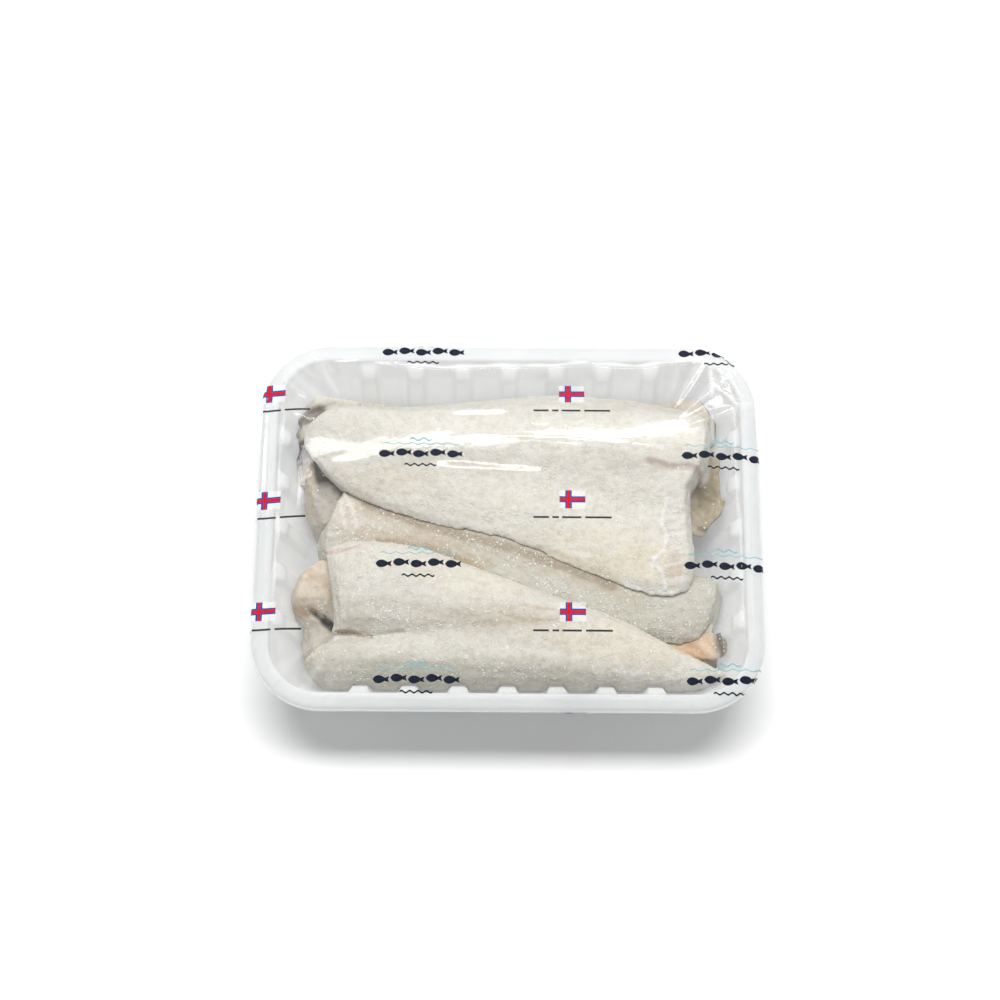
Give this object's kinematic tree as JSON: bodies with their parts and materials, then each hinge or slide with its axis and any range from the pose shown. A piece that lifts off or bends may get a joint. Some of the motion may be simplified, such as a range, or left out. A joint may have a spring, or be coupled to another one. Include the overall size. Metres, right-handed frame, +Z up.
{
  "type": "tray pack of salted cod fillets",
  "caption": "Salted cod fillets laid over each other in a ribbed white plastic tray, overwrapped in tight clear film with small printed marks.",
  "frame": {"origin": "middle of the pack's underside, on the surface it lies on", "axes": "+Z up out of the tray, +X along the tray's long side towards the wide end of the top back fillet, +Y towards the back long side"},
  "size_m": [0.251, 0.192, 0.0513],
  "materials": {
    "tray_plastic": "smooth white polypropylene, slightly translucent",
    "clear_film": "thin clear glossy stretch film",
    "pale_flesh": "moist salted flesh with salt crystals",
    "grey_flesh": "moist grey salted flesh with coarse salt",
    "skin_and_flesh": "moist grey-brown skin and beige flesh"
  },
  "bodies": {
    "root": {"tray": "tray_plastic", "film": "clear_film", "fillet_upper_back": "pale_flesh", "fillet_upper_front": "pale_flesh", "fillet_middle": "grey_flesh", "fillet_under_back": "skin_and_flesh", "fillet_under_front": "skin_and_flesh"}
  },
  "joints": []
}
